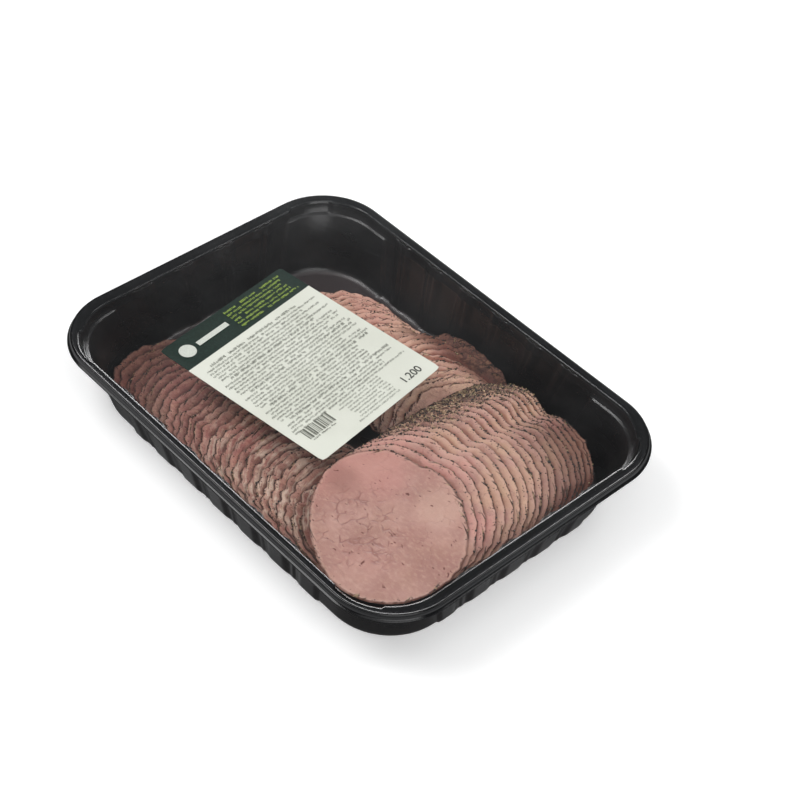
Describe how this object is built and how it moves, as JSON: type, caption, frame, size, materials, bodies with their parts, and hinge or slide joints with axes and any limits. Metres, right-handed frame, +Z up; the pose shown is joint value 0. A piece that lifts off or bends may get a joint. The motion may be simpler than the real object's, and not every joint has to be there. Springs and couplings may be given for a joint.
{
  "type": "peppered beef pack",
  "caption": "Rounded black plastic tray of thin pepper-crusted roast beef slices laid in shingled rows, closed with clear lidding film and a printed label.",
  "frame": {"origin": "middle of the tray's flat base, at the bottom of the object's box", "axes": "+X along the tray's long side, +Z up out of the tray's mouth; the low end of the left row is at -X, the tall front row at +X"},
  "size_m": [0.293, 0.2206, 0.0457],
  "materials": {
    "black_plastic": "glossy thermoformed black",
    "roast_beef": "moist cooked meat, pink-brown face with a dark peppered rim",
    "clear_film": "clear glossy film",
    "label_paper": "satin coated paper, off-white with a dark green band"
  },
  "bodies": {
    "root": {"tray": "black_plastic", "beef_front_01": "roast_beef", "beef_front_02": "roast_beef", "beef_front_03": "roast_beef", "beef_front_04": "roast_beef", "beef_front_05": "roast_beef", "beef_front_06": "roast_beef", "beef_front_07": "roast_beef", "beef_front_08": "roast_beef", "beef_front_09": "roast_beef", "beef_front_10": "roast_beef", "beef_front_11": "roast_beef", "beef_front_12": "roast_beef", "beef_front_13": "roast_beef", "beef_front_14": "roast_beef", "beef_front_15": "roast_beef", "beef_front_16": "roast_beef", "beef_front_17": "roast_beef", "beef_front_18": "roast_beef", "beef_front_19": "roast_beef", "beef_left_01": "roast_beef", "beef_left_02": "roast_beef", "beef_left_03": "roast_beef", "beef_left_04": "roast_beef", "beef_left_05": "roast_beef", "beef_left_06": "roast_beef", "beef_left_07": "roast_beef", "beef_left_08": "roast_beef", "beef_left_09": "roast_beef", "beef_left_10": "roast_beef", "beef_left_11": "roast_beef", "beef_left_12": "roast_beef", "beef_left_13": "roast_beef", "beef_left_14": "roast_beef", "beef_back_01": "roast_beef", "beef_back_02": "roast_beef", "beef_back_03": "roast_beef", "beef_back_04": "roast_beef", "beef_back_05": "roast_beef", "beef_back_06": "roast_beef", "beef_back_07": "roast_beef", "beef_back_08": "roast_beef", "beef_back_09": "roast_beef", "beef_back_10": "roast_beef", "beef_back_11": "roast_beef", "beef_back_12": "roast_beef", "beef_back_13": "roast_beef", "film": "clear_film", "label": "label_paper"}
  },
  "joints": []
}
